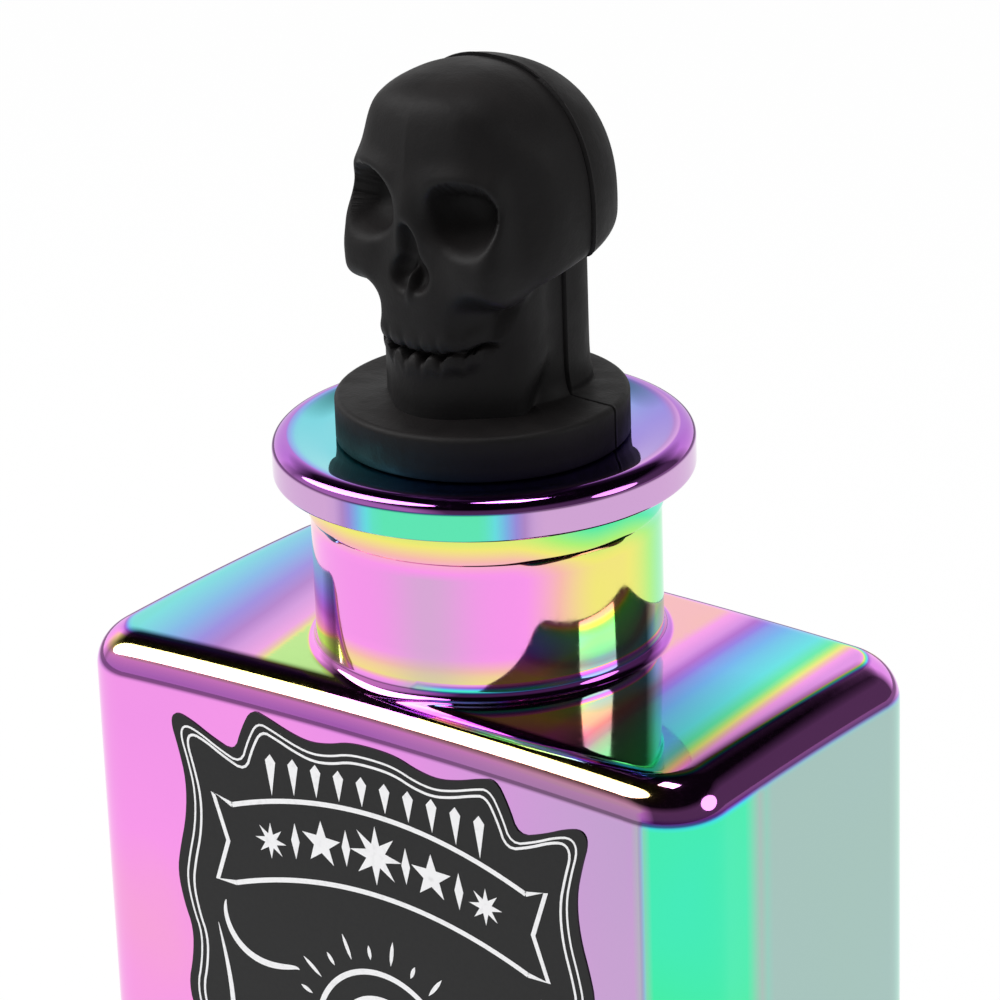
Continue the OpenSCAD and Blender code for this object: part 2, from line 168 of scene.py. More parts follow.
def plan_outline(width, depth, radius, long_steps=92, short_steps=38, arc_steps=16):
    """Points of a rounded rectangle with their outward normals, anticlockwise, closer together near the arcs.

    A corner's points are its centre plus the radius times (cos a, sin a). A side's points run straight
    between two corners at u - 0.8 sin(2 pi u) / (2 pi).
    """
    points, normals = [], []
    signs = [(1, 1), (-1, 1), (-1, -1), (1, -1)]
    for k in range(4):
        centre = np.array([signs[k][0] * (width / 2 - radius), signs[k][1] * (depth / 2 - radius)])
        after = signs[(k + 1) % 4]
        centre_after = np.array([after[0] * (width / 2 - radius), after[1] * (depth / 2 - radius)])
        angle = math.pi / 2 * (k + np.linspace(0, 1, arc_steps + 1))
        out = np.stack([np.cos(angle), np.sin(angle)], 1)
        steps = long_steps if k % 2 == 0 else short_steps
        u = np.linspace(0, 1, steps + 1)[1:-1]
        u = (u - 0.8 * np.sin(2 * np.pi * u) / (2 * np.pi))[:, None]
        points += [centre + radius * out, mix(centre, centre_after, u) + radius * out[-1]]
        normals += [out, np.repeat(out[-1:], len(u), 0)]
    return np.concatenate(points), np.concatenate(normals)


def roof_height(xy, width, depth, radius, top, edge):
    """Height of the domed top: top - 1.4 (2x/w)^2 - 0.6 (2y/d)^2, less a quarter circle of radius edge at its rim."""
    over = np.abs(xy) - (np.array([width, depth]) / 2 - radius)
    inside = radius - np.linalg.norm(np.maximum(over, 0), axis=1) - np.minimum(over.max(1), 0)
    rim = np.clip(edge - inside, 0, edge)
    fall = 1.4 * (2 * xy[:, 0] / width) ** 2 + 0.6 * (2 * xy[:, 1] / depth) ** 2
    return top - fall - (edge - np.sqrt(np.maximum(edge**2 - rim**2, 0)))


def bottle_rings(s):
    """Rings of the whole glass, from the middle of its base up outside, over the lip and down inside to its floor."""
    w, d, top, corner, edge = (v / MM for v in (s.width, s.depth, s.shoulder, s.corner, s.edge))
    foot, wall, floor, roof = (v / MM for v in (s.foot, s.wall, s.floor, s.roof))
    neck, blend, lip, bore = (v / MM for v in (s.neck, s.blend, s.lip, s.bore))
    p, n = plan_outline(w, d, corner)
    unit = p / np.linalg.norm(p, axis=1)[:, None]
    rings = []

    def ring(xy, z):
        rings.append(np.column_stack([xy, np.broadcast_to(z, len(xy))]))

    punt_r, punt_h = 19.0, 2.4
    for a in np.linspace(8, 90, 9) * math.pi / 180:
        ring(unit * punt_r * math.sin(a), punt_h * math.cos(a))
    for t in (0.05, 0.5, 0.97):
        ring(mix(unit * punt_r, p - n * foot, t), 0)
    for a in np.linspace(0, 90, 9) * math.pi / 180:
        ring(p - n * foot * (1 - math.sin(a)), foot * (1 - math.cos(a)))
    fall = 1.4 * (2 * p[:, 0] / w) ** 2 + 0.6 * (2 * p[:, 1] / d) ** 2
    wall_top = top - edge - fall
    for t in np.linspace(0.03, 1, 26) ** 0.9:
        ring(p, mix(foot, wall_top, t))
    blend_r = neck + blend
    for t in (np.arange(1, 53) / 52) ** 1.8:
        q = mix(p, unit * blend_r, t)
        ring(q, roof_height(q, w, d, corner, top, edge))
    for a in np.linspace(9, 90, 10) * math.pi / 180:
        q = unit * (neck + blend * (1 - math.sin(a)))
        ring(q, roof_height(q, w, d, corner, top, edge) + blend * (1 - math.cos(a)))
    foot_z = rings[-1][:, 2]
    band_low = top + 18.2
    for t in np.linspace(0.06, 1, 16):
        ring(unit * neck, mix(foot_z, band_low - 0.05, t))
    under = top + 23.2
    profile = [(neck + 0.02, band_low), (neck + 0.2, band_low + 0.08), (neck + 0.33, band_low + 0.3), (neck + 0.35, band_low + 0.6)]
    profile += [(neck + 0.35, z) for z in np.linspace(band_low + 1, under - 0.25, 5)]
    profile += [(neck + 0.4, under - 0.08), (neck + 0.5, under), (neck + 1.5, under), (lip - 1, under), (lip - 0.5, under)]
    profile += [(lip - 0.45 * (1 - math.sin(a)), under + 0.45 * (1 - math.cos(a))) for a in np.linspace(0.3, math.pi / 2, 5)]
    profile += [(lip, z) for z in np.linspace(under + 0.8, under + 3.5, 6)]
    ridge, bead_w, bead_h = lip - 2.2, 2.2, 1.8
    profile += [(ridge + bead_w * math.cos(a), under + 3.6 + bead_h * math.sin(a)) for a in np.linspace(0.04, math.pi / 2, 13)]
    seat = top + 27.8
    dish = np.linspace(0, 1, 11)[1:]
    profile += list(zip(mix(ridge, 20.4, dish), seat + 0.8 * (1 - dish**1.3) ** 1.6))
    profile += [(19.4, seat), (18.2, seat), (17.5, seat)]
    profile += [(bore + 0.5 * (1 - math.sin(a)), seat - 0.5 * (1 - math.cos(a))) for a in np.linspace(0, math.pi / 2, 5)]
    ceiling = top - roof
    profile += [(bore, z) for z in np.linspace(seat - 1.2, ceiling + 0.3, 9)]
    for r, z in profile:
        ring(unit * r, z)
    inner, out = plan_outline(w - 2 * wall, d - 2 * wall, corner - wall)
    for t in (0, 0.3, 0.7, 0.95, 1):
        ring(mix(unit * (bore + 0.3), inner - out * 0.6, t), ceiling)
    ring(inner, ceiling - 0.6)
    for z in np.linspace(ceiling - 2, floor + 2, 7):
        ring(inner, z)
    ring(inner, floor + 0.6)
    for t in (0, 0.2, 0.6, 0.95):
        ring((inner - out * 0.6) * (1 - t), floor)
    return np.array(rings), punt_h, floor


def film_order(points, normals):
    """Order of the film's colour and how far it is washed out, at each point.

    The order is a place on one turn of the interference colours, and so is any number plus a whole one. On the
    walls it follows the turn of the face about Z, on the shoulder it runs with X - 0.35 Y, on the neck with the
    angle about its axis and the height, and on the rounded edges with the tilt of the face.
    """
    x, y, z = points.T / MM
    nx, ny, nz = normals.T
    tilt = np.clip(nz, 0, 1)
    turn = np.degrees(np.arctan2(np.abs(nx), np.abs(ny) + 1e-9))
    across = x / 50
    right = x > 0
    # Walls: pink in front, green round the right corner, pale at the sides
    order = mix(0.99, 0.86, ease(-0.5, 1.0, across)) - 0.02 * np.sin(z / 19)
    wash = 0.10 + 0.42 * ease(-0.1, 0.85, across)
    side = ease(60, 88, turn)
    order = np.where(~right, mix(order, 0.93, side), order)
    wash = mix(wash, np.where(right, 0.86, 0.30), side * ease(-19, -12, np.where(right, y, 0)))
    green = ease(3, 22, turn) * (1 - ease(-14.5, -8, y)) * right
    order = np.where(green > 0.5, 0.32 + 0.012 * np.sin(z / 9), np.where(right & (turn > 45), 0.35, order))
    wash = mix(wash, 0.03, green)
    wash = np.maximum(wash, 0.93 * (1 - np.abs(2 * green - 1)) ** 0.6)
    wash = np.maximum(wash, 0.95 * np.exp(-(((turn - 45) / 14) ** 2)) * (right & (y > 0)))
    # Shoulder: from the neck outwards
    out = (x + 0.06 * y - 23) / 21.5
    places = (0, 0.10, 0.22, 0.36, 0.52, 0.70, 0.82, 0.90, 1.0)
    roof_right = np.interp(out, places, (1.06, 0.97, 0.80, 0.60, 0.50, 0.42, 0.28, 0.10, -0.10))
    out_left = np.clip((-x - 0.15 * y - 23) / 22, 0, 1.05)
    roof_order = np.where(right, roof_right, 1.20 - 0.78 * out_left**0.6)
    roof = ease(0.93, 0.995, tilt) * (z < 150)
    rim = ease(0.03, 0.30, tilt) * (z < 150)
    front_rim = mix(0.84, 1.12, ease(0.25, 0.75, tilt)) - 0.5 * ease(0.86, 0.97, tilt)
    pale_rim = ease(-5, 36, x) * ease(0.60, 0.40, tilt) * (turn < 15) * (y < 0)
    rim_order = mix(front_rim + 0.10 * pale_rim, 0.88, ease(20, 60, turn))
    angle = np.degrees(np.arctan2(x, -y))
    foot_order = mix(0.98, 0.80, ease(-10, 22, angle)) - 0.18 * ease(-50, -80, angle)
    order = mix(order, np.where(np.hypot(x, y) < 26.5, foot_order, rim_order), rim)
    wash = mix(wash, 0.38 * pale_rim, rim)
    order = mix(order, roof_order, roof)
    wash = mix(wash, np.where(right, 0.10, 0.25), roof)
    # Neck
    high = (z - 142) / 21
    neck_order = 0.98 + 0.15 * ease(44, 76, angle) + 0.16 * ease(85, 118, angle)
    neck_order += 0.20 * ease(0.66, 0.98, high) + 0.14 * ease(0.20, 0.0, high)
    neck_order += 0.12 * ease(-20, -75, angle) + 0.19 * ease(-110, -175, angle)
    neck_wash = 0.08 + 0.42 * np.exp(-(((angle - 18) / 13) ** 2)) * (high < 0.7)
    on_neck = (z > 141.5) & (z < 163.3) & (tilt < 0.95) & (np.hypot(x, y) < 26)
    order = np.where(on_neck, neck_order, order)
    wash = np.where(on_neck, neck_wash, wash)
    # Lip: its upright band, its bead and its dish
    middle = 1 - ease(13, 32, np.abs(angle - 22))
    band_order = mix(0.92, 0.33, middle)
    on_band = (z >= 163.1) & (z < 166.9)
    order = np.where(on_band, band_order, order)
    wash = np.where(on_band, mix(0.50, 0.18, middle), wash)
    on_bead = (z >= 166.9) & (np.hypot(x, y) > 25.3)
    order = np.where(on_bead, mix(0.84, 0.76, ease(166.9, 168.8, z)), order)
    wash = np.where(on_bead, 0.08, wash)
    on_dish = (z >= 166.9) & (np.hypot(x, y) <= 25.3)
    dish_order = 0.44 + 0.26 * ease(-10, 24, x) + 0.25 * ease(24, 26, np.hypot(x, y))
    order = np.where(on_dish, dish_order, order)
    wash = np.where(on_dish, 0.25, wash)
    return order, wash


class BOTTLE_OT_glass(bpy.types.Operator):
    """Build the glass body, neck and lip as one closed surface with its film"""

    bl_idname = "bottle.glass"
    bl_label = "Glass"

    def execute(self, context):
        rings, punt, floor = bottle_rings(context.scene.bottle_sizes)
        rows, columns = rings.shape[:2]
        points = np.concatenate([rings.reshape(-1, 3), [[0, 0, punt], [0, 0, floor]]])
        faces = grid_quads(rows, columns, True)
        first, last, base = rows * columns, rows * columns + 1, (rows - 1) * columns
        k = np.arange(columns)
        after = np.roll(k, -1)
        faces += np.stack([np.full(columns, first), after, k], 1).tolist()
        faces += np.stack([base + k, base + after, np.full(columns, last)], 1).tolist()
        piece = add_piece("glass_bottle", points, faces, film_material(), "bottle", ["bottle_glass"])
        mesh = piece.data
        normals = np.zeros(len(mesh.vertices) * 3, np.float32)
        mesh.vertices.foreach_get("normal", normals)
        order, wash = film_order(points * MM, normals.reshape(-1, 3))
        for name, values in (("film_order", order), ("film_wash", wash)):
            layer = mesh.attributes.new(name, "FLOAT", "POINT")
            layer.data.foreach_set("value", values.astype(np.float32))
        return {"FINISHED"}


# Label

# Right-hand upper quarter of the label's outline, as shares of half its width and half its height
LABEL_QUARTER = [
    (0, 0.985), (0.12, 0.98), (0.22, 0.955), (0.32, 0.945), (0.42, 0.96), (0.52, 0.985), (0.60, 1), (0.655, 0.93),
    (0.70, 0.84), (0.82, 0.87), (0.92, 0.905), (1, 0.92), (1.03, 0.885), (0.995, 0.80), (0.965, 0.70), (0.975, 0.58),
    (1.02, 0.46), (1.04, 0.38), (1.015, 0.28), (0.975, 0.20), (0.985, 0.10), (1.02, 0),
]


def soften(points, passes):
    """Cuts each corner of a closed outline at a quarter and three quarters of its sides, again and again."""
    for _ in range(passes):
        after = np.roll(points, -1, 0)
        points = np.stack([mix(points, after, 0.25), mix(points, after, 0.75)], 1).reshape(-1, 2)
    return points


def label_outline(width, height):
    """The quarter outline and its three mirror images, softened, anticlockwise as seen from the front."""
    q = np.array(LABEL_QUARTER)
    flip_z, flip_x = q[::-1][1:] * (1, -1), (q * (-1, -1))[1:]
    last = (q[::-1] * (-1, 1))[1:-1]
    points = np.concatenate([q, flip_z, flip_x, last]) * (width / 2, height / 2)
    return soften(points[::-1], 2)


def plate(outline, low, high):
    """A flat plate between two depths: one face in front, one behind and a strip of quads round its edge."""
    n = len(outline)
    points = np.concatenate([np.column_stack([outline[:, 0], np.full(n, y), outline[:, 1]]) for y in (low, high)])
    k = np.arange(n)
    after = np.roll(k, -1)
    faces = np.stack([k, k + n, after + n, after], 1).tolist()
    return points, faces + [k[::-1].tolist()[::-1], (k + n)[::-1].tolist()]


def stroke(path, width, closed=False, taper=False):
    """A flat band along a path in the label's plane: each point is moved out by half the width on both sides,
    along the normal of the path there, and with taper the width falls to a point at both ends."""
    ahead = np.roll(path, -1, 0) - np.roll(path, 1, 0) if closed else np.gradient(path, axis=0)
    side = np.stack([-ahead[:, 1], ahead[:, 0]], 1) / np.linalg.norm(ahead, axis=1)[:, None]
    half = np.full(len(path), width / 2)
    if taper:
        half = half * np.maximum(np.sin(np.linspace(0, np.pi, len(path))) ** 0.6, 0.08)
    return path + side * half[:, None], path - side * half[:, None]


class Ink:
    """Collects printed bands and spots as thin closed solids on the label's front."""

    def __init__(self, front, thickness):
        self.y = (front - thickness, front)
        self.points, self.faces, self.count = [], [], 0

    def band(self, path, width, closed=False, taper=False):
        left, right = stroke(np.asarray(path, float), width, closed, taper)
        n = len(left)
        rows = [np.column_stack([s[:, 0], np.full(n, y), s[:, 1]]) for s, y in
                ((left, self.y[0]), (left, self.y[1]), (right, self.y[1]), (right, self.y[0]))]
        k = np.arange(4 * n).reshape(4, n).T + self.count
        rolled = np.roll(k, -1, 0) if closed else k[1:]
        start = k if closed else k[:-1]
        quads = np.stack([start, rolled, np.roll(rolled, -1, 1), np.roll(start, -1, 1)], -1).reshape(-1, 4).tolist()
        if not closed:
            quads += [k[0].tolist(), k[-1][::-1].tolist()]
        self.points.append(np.concatenate(rows))
        self.faces += quads
        self.count += 4 * n

    def spot(self, outline):
        points, faces = plate(np.asarray(outline, float), *self.y)
        self.faces += [[i + self.count for i in f] for f in faces]
        self.points.append(points)
        self.count += len(points)


def lozenge(x, z, w, h):
    """Four points of an upright diamond, anticlockwise from its right."""
    return np.array([(x + w, z), (x, z + h), (x - w, z), (x, z - h)])


def star(x, z, r, arms, depth=0.42):
    """Points alternately at r and r * depth from the middle."""
    a = np.arange(2 * arms) * np.pi / arms + np.pi / 2
    r = np.where(np.arange(2 * arms) % 2 == 0, r, r * depth)
    return np.stack([x + r * np.cos(a), z + r * np.sin(a)], 1)


def crescent(big, small, shift):
    """A circle less a smaller one that is shifted to its right. The horns stand where the two circles cross."""
    horn = (big**2 - small**2 + shift**2) / (2 * shift)
    a, b = math.acos(horn / big), math.acos((horn - shift) / small)
    outer, inner = np.linspace(a, 2 * np.pi - a, 48), np.linspace(2 * np.pi - b, b, 40)[1:-1]
    outer = big * np.stack([np.cos(outer), np.sin(outer)], 1)
    return np.concatenate([outer, small * np.stack([np.cos(inner), np.sin(inner)], 1) + (shift, 0)])


def arch(x0, x1, z, rise, n=60):
    """A shallow arch: z + rise (1 - t^2), with t from -1 to 1."""
    t = np.linspace(-1, 1, n)
    return np.stack([mix(x0, x1, (t + 1) / 2), z + rise * (1 - t * t)], 1)


def label_print(ink, outline, height):
    """The label's pattern about its middle: two outlines, an arched row of hanging lozenges, an arched title band with
    stars in place of a title, side curls and a rayed moon."""
    for scale, width in ((0.952, 0.30), (0.921, 0.36)):
        ink.band(outline * (scale, 1 - (1 - scale) * 0.78), width, closed=True)
    top = height / 2
    for x in np.linspace(-17, 17, 10):
        brow = top - 6.9 + 0.7 * (1 - (x / 19) ** 2)
        tip = top - 14 + 4.6 * (1 - (x / 24) ** 2)
        ink.spot([(x + 0.85, brow), (x, brow + 1), (x - 0.85, brow), (x, tip)])
    for z in (-14.8, -26.2):
        ink.band(arch(-24, 24, top + z, 4.6), 0.7)
    for side in (-1, 1):
        ends = np.array([(24, -14.8), (27.2, -13.8), (25.0, -20.3), (27.2, -26.4), (24, -26.2)])
        ink.band(np.column_stack([side * ends[:, 0], top + ends[:, 1]]), 0.7)
        t = np.linspace(0, 1, 40)
        curl = np.column_stack([side * (26 - 10 * t + 2.4 * np.sin(5.2 * t)), top - 31 - 7 * t + 1.8 * np.cos(6 * t)])
        ink.band(curl, 1.0, taper=True)
        curl = np.column_stack([side * (27.6 - 1.8 * np.sin(3 * t)), top - 33 - 24 * t])
        ink.band(curl, 0.8, taper=True)
    for x, size, arms in ((0, 4.2, 8), (-9, 3.3, 5), (9, 3.3, 5), (-17.6, 2.6, 8), (17.6, 2.6, 8)):
        ink.spot(star(x, top - 20.5 + 4.6 * (1 - (x / 24) ** 2), size, arms, 0.40))
    for x in (-13.4, -4.9, 4.9, 13.4):
        ink.spot(lozenge(x, top - 20.5 + 4.6 * (1 - (x / 24) ** 2), 0.7, 2.6))
    moon = (0, top - 44)
    ring = np.linspace(0, 2 * np.pi, 97)[:-1]
    ink.band(np.stack([11 * np.sin(ring), moon[1] + 11 * np.cos(ring)], 1), 0.8, closed=True)
    ink.spot(crescent(7.6, 5.4, 3.0) + moon)
    for k in range(24):
        way = np.array([math.cos(k * math.pi / 12 + 0.13), math.sin(k * math.pi / 12 + 0.13)])
        reach = 16.4 if k % 2 else 14.8
        ink.band([way * r + moon for r in np.linspace(12.8, reach, 5)], 0.6, taper=True)
    for k, w in enumerate((17, 13, 8)):
        ink.band(arch(-w, w, 12 - 3 * k - top, -1.5), 0.5, taper=True)


class BOTTLE_OT_label(bpy.types.Operator):
    """Build the die-cut label and its printed pattern"""

    bl_idname = "bottle.label"
    bl_label = "Label"

    def execute(self, context):
        s, b = context.scene.label_sizes, context.scene.bottle_sizes
        low, high = (np.array(v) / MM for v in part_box("front_label"))
        middle = (low + high)[[0, 2]] / 2
        outline = label_outline(s.width / MM, s.height / MM)
        back = -b.depth / MM / 2
        front = back - s.film / MM
        points, faces = plate(outline + middle, front, back)
        add_piece("label_film", points, faces, label_material(), "bottle", ["front_label"], sharp=30)
        ink = Ink(front + 0.005, s.ink / MM + 0.005)
        label_print(ink, outline, s.height / MM)
        points = np.concatenate(ink.points) + (middle[0], 0, middle[1])
        add_piece("label_ink", points, ink.faces, ink_material(), "bottle", sharp=30)
        return {"FINISHED"}


# Skull

JOINT = 4.0
FAN = 22.0


def form(x, y, z, c, s, n=2.0):
    """A superellipsoid: ((|x/a|^n + |y/b|^n + |z/c|^n)^(1/n) - 1) times its least half size."""
    k = (np.abs((x - c[0]) / s[0]) ** n + np.abs((y - c[1]) / s[1]) ** n + np.abs((z - c[2]) / s[2]) ** n) ** (1 / n)
    return (k - 1) * min(s)


def join(a, b, k):
    """The nearer of two forms, with a fillet where they differ by less than k."""
    return np.minimum(a, b) - np.maximum(k - np.abs(a - b), 0) ** 2 / (4 * k)


def both(a, b, k):
    """What two forms share, rounded over k."""
    return -join(-a, -b, k)


def skull_form(x0, y, h):
    """Signed measure of the skull at x, y and height h above its disc: below 0 inside."""
    x = np.abs(x0)
    d = both(form(x, y, h, (0, 1.0, 24.8), (15.9, 17.0, 18.3), 2.25), 16.2 + 0.22 * (y + 9) - h, 2)
    d = join(d, form(x, y, h, (0, -3.2, 31), (11.4, 10.8, 12.2), 2.7), 1.5)
    d = both(both(d, 0.22 * x - y - 13.7, 3), 0.76 * x - 0.65 * y + 0.14 * h - 18.9, 1.5)
    d = join(d, form(x, y, h, (4.9, -9, 30.2), (5.4, 4.3, 3.7), 2.2), 2)
    d = join(d, form(x, y, h, (8.8, -8, 19), (4, 4.9, 4.3), 2.8), 2)
    d = join(d, form(x, y, h, (11.2, -8.6, 25), (1.8, 3.0, 5.8)), 1.5)
    d = join(d, form(x, y, h, (0, -5, 13.5), (8.8, 8.5, 9.5), 2.8), 1.6)
    d = join(d, form(x, y, h, (0, -10.9, 26), (2.3, 3.4, 4.6)), 1.6)
    side = 0.679 * (x - 4) - 0.734 * (y + 12.6)
    rear = 0.846 * (x - 12) + 0.533 * (y + 5.2 - 4.4 * ease(0, 8, h))
    jaw = both(both(both(side, -y - 13.4, 2.5), rear, 1.6), x - 11.6, 1.5)
    jaw = both(jaw, y - 8, 1.5)
    d = join(d, both(jaw, h - 8 - np.clip((y + 9) * 2, 0, 11), 1.6), 1)
    stem = ((np.abs(x / 10.6) ** 2.3 + np.abs((y - 4.6) / 9.5) ** 2.3) ** (1 / 2.3) - 1) * 9.5
    d = join(d, both(stem - np.exp(-np.maximum(h, -3) / 1.2), h - 24, 2), 1)
    d = both(d, -form(x, y, h, (7.5, -14.4, 27.2), (4.8, 7.8, 4.4), 2.2), 1.4)
    d = both(d, -form(x, y, h, (17.2, -10.5, 30), (3.6, 6, 7)), 3)
    d = both(d, -form(x, y, h, (9.8, -13.6, 12.6), (3, 4.6, 3.8)), 2)
    opening = join(form(x, y, h, (0, -14.9, 21.6), (1.7, 3.8, 4.3)), form(x, y, h, (1.3, -14.6, 18.9), (1.9, 3.4, 2.2)), 1.2)
    d = both(d, -opening, 0.7)
    d = join(d, form(x, y, h, (0, -12.2, 17.6), (0.45, 1.3, 1.5)), 0.7)
    return mouth_cut(d, x0, x, y, h)


def mouth_cut(d, x0, x, y, h):
    """The line between the teeth, which waves with them, and soft grooves between the teeth above and below it."""
    line = 8.4 + 0.018 * x * x + 0.20 * np.cos(np.pi * x0 / 1.3)
    mouth = both(np.abs(h - line) - 0.28, y + 7.2, 0.5)
    d = both(d, -both(mouth, -(d + 0.9), 0.3), 0.5)
    lane = np.abs(((x - 1.3) / 2.6 + 0.5) % 1 - 0.5) * 2.6
    groove = 0.20 * np.exp(-((lane / 0.38) ** 2)) * ease(-6.5, -8.5, y) * ease(9.4, 8.4, x)
    reach = ease(line + 3.6, line + 0.8, h) * ease(line - 3.2, line - 0.8, h)
    notch = 0.8 * np.exp(-(((h - line) / 0.8) ** 2) - (lane / 0.45) ** 2) * ease(4.6, 3.0, x) * ease(-9, -11, y)
    lips = 0.22 * np.exp(-((np.abs(h - line) - 1.7) / 1.1) ** 2) * ease(9.5, 7.5, x) * ease(-6.5, -8.5, y)
    return d + groove * reach + notch - lips


def skull_surface(angles, levels, proud):
    """Where rays meet the skull: level rays below the fan's height, then rays that rise from there to the crown.

    The reach is stepped inwards by a millimetre until it is inside, and then the last step is halved again and again.
    """
    rise = np.clip(levels - 1, 0, 1) * math.pi / 2
    start = np.stack(np.broadcast_arrays(0.0, JOINT, np.minimum(levels, 1) * FAN), -1)[:, None, :]
    cos_r, sin_r = np.cos(rise)[:, None], np.sin(rise)[:, None]
    way = np.stack(np.broadcast_arrays(np.cos(angles) * cos_r, np.sin(angles) * cos_r, sin_r), -1)

    def inside(reach):
        at = start + way * reach[..., None]
        return skull_form(at[..., 0], at[..., 1], at[..., 2]) < 0

    low = np.zeros(way.shape[:2])
    for reach in np.arange(26, 0.9, -1):
        seen = (low == 0) & inside(np.full(low.shape, reach))
        low = np.where(seen, reach, low)
    high = low + 1
    for _ in range(14):
        middle = (low + high) / 2
        hit = inside(middle)
        low, high = np.where(hit, middle, low), np.where(hit, high, middle)
    return start + way * (low + proud)[..., None]


def skull_half(front, columns, rows, s):
    """One half of the stopper's head: the disc's rings, then the skull's levels, closed along the joint.

    The columns at both ends lie in the joint and are drawn in by the seam's width, so that a fine groove shows.
    """
    seam, disc, low_z = s.seam / MM, s.disc / MM, -s.disc_height / MM
    turn = np.linspace(0, math.pi, columns - 2)
    a = np.concatenate([[0], turn, [math.pi]]) - (math.pi if front else 0)
    step = np.zeros(columns)
    step[1] = step[-2] = seam
    draw = np.zeros(columns)
    draw[0] = draw[-1] = seam
    away = -1 if front else 1
    proud = 0 if front else s.proud / MM
    levels = np.concatenate([np.linspace(0.003, 1, rows * 55 // 100, endpoint=False), 1 + np.linspace(0, 0.985, rows - rows * 55 // 100)])
    skull = skull_surface(a, levels, proud * ease(0.0, 0.06, levels)[:, None])
    rings = []
    lift = ease(0.0, 0.06, levels)
    edge = 0.8
    profile = [(disc - 0.25, low_z), (disc, low_z + 0.25), (disc, low_z + 1.5), (disc, -2.4), (disc, -edge)]
    profile += [(disc - edge * (1 - math.cos(t)), -edge * (1 - math.sin(t))) for t in np.linspace(0.25, math.pi / 2, 6)]
    profile += [(disc - 2.5, 0.0), (disc - 4.5, 0.01)]
    dip = np.where(draw > 0, seam, 0)
    for r, z in profile:
        out = -JOINT * np.sin(a) + np.sqrt(r * r - (JOINT * np.cos(a)) ** 2)
        rings.append(np.stack([out * np.cos(a), JOINT + out * np.sin(a), z - dip * (z > -edge)], 1))
    grid = np.concatenate([np.array(rings), skull])
    centre = grid * (0, 0, 1) + (0, JOINT, 0)
    flat = grid - centre
    size = np.linalg.norm(flat[..., :2], axis=-1, keepdims=True)
    grid = centre + flat * (1 - draw[None, :, None] / np.maximum(size, 1))
    grid[..., 1] += away * step[None, :]
    points = grid.reshape(-1, 3)
    apex = centre[-1, 0] * (0, 1, 0) + (0, 0, grid[-1, :, 2].max() + 0.02)
    n, m = columns, len(grid)
    points = np.concatenate([points, [apex]])
    quads = grid_quads(m, n, False)
    top = (m - 1) * n
    quads += [[top + i, top + i + 1, m * n] for i in range(n - 1)]
    quads += [[i * n + n - 1, i * n, (i + 1) * n, (i + 1) * n + n - 1] for i in range(m - 1)]
    quads += [[top + n - 1, top, m * n], list(range(n - 1, -1, -1))]
    return points, quads


class BOTTLE_OT_skull(bpy.types.Operator):
    """Build the two moulded halves of the stopper's skull"""

    bl_idname = "bottle.skull"
    bl_label = "Skull"

    def execute(self, context):
        s = context.scene.stopper_sizes
        height = DISC_LOW + s.disc_height / MM
        c, sn = math.cos(s.yaw), math.sin(s.yaw)
        spin = np.array([[c, sn, 0], [-sn, c, 0], [0, 0, 1]])
        finish = resin_material()
        for name, node, front, columns, rows in (("head_front", "skull_front", True, 290, 300), ("head_rear", "skull_rear", False, 150, 170)):
            points, faces = skull_half(front, columns, rows, s)
            points = points @ spin + (0, 0, height)
            points[:, 2] = np.minimum(points[:, 2], CAD_BOUNDS[1][2] / MM)
            add_piece(name, points, faces, finish, "stopper", [node], sharp=62)
        return {"FINISHED"}


class BOTTLE_OT_plug(bpy.types.Operator):
    """Give the plug, its rings and its fasteners their finishes"""

    bl_idname = "bottle.plug"
    bl_label = "Plug"

    def execute(self, context):
        finishes = {
            "plug_core": plastic_material(), "plug_cap": plastic_material(), "head_screw": steel_material(),
            "screw_washer": steel_material(), "dowel_lower": steel_material(), "dowel_upper": steel_material(),
            "seal_ring_upper": rubber_material(), "seal_ring_middle": rubber_material(), "seal_ring_lower": rubber_material(),
        }
        for node, material in finishes.items():
            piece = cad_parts[node]
            piece.data.materials.clear()
            piece.data.materials.append(material)
        return {"FINISHED"}


# Finishes


def start_material(name, **inputs):
    """An empty node material with one Principled shader. Returns the material, its tree and the shader."""
    material = bpy.data.materials.new(name)
    material.use_nodes = True
    tree = material.node_tree
    tree.nodes.clear()
    shader, out = tree.nodes.new("ShaderNodeBsdfPrincipled"), tree.nodes.new("ShaderNodeOutputMaterial")
    tree.links.new(shader.outputs[0], out.inputs[0])
    for key, value in inputs.items():
        shader.inputs[key.replace("_", " ")].default_value = value
    return material, tree, shader


def node(tree, kind, links=None, **values):
    """A new node with its properties and sockets set, and its inputs linked from other nodes' outputs."""
    n = tree.nodes.new(kind)
    for key, value in values.items():
        if hasattr(n, key):
            setattr(n, key, value)
        else:
            n.inputs[key.replace("_", " ")].default_value = value
    for key, source in (links or {}).items():
        tree.links.new(source, n.inputs[key])
    return n


def rgba(c):
    return (*c, 1)


FILM_COLOURS = [
    (0.00, (1.00, 0.30, 0.86)), (0.07, (0.98, 0.50, 0.42)), (0.14, (0.93, 0.85, 0.16)), (0.22, (0.42, 0.92, 0.16)),
    (0.31, (0.05, 0.86, 0.38)), (0.42, (0.05, 0.78, 0.80)), (0.54, (0.10, 0.42, 0.90)), (0.66, (0.25, 0.13, 0.80)),
    (0.76, (0.42, 0.07, 0.62)), (0.86, (0.72, 0.22, 0.80)), (1.00, (1.00, 0.30, 0.86)),
]


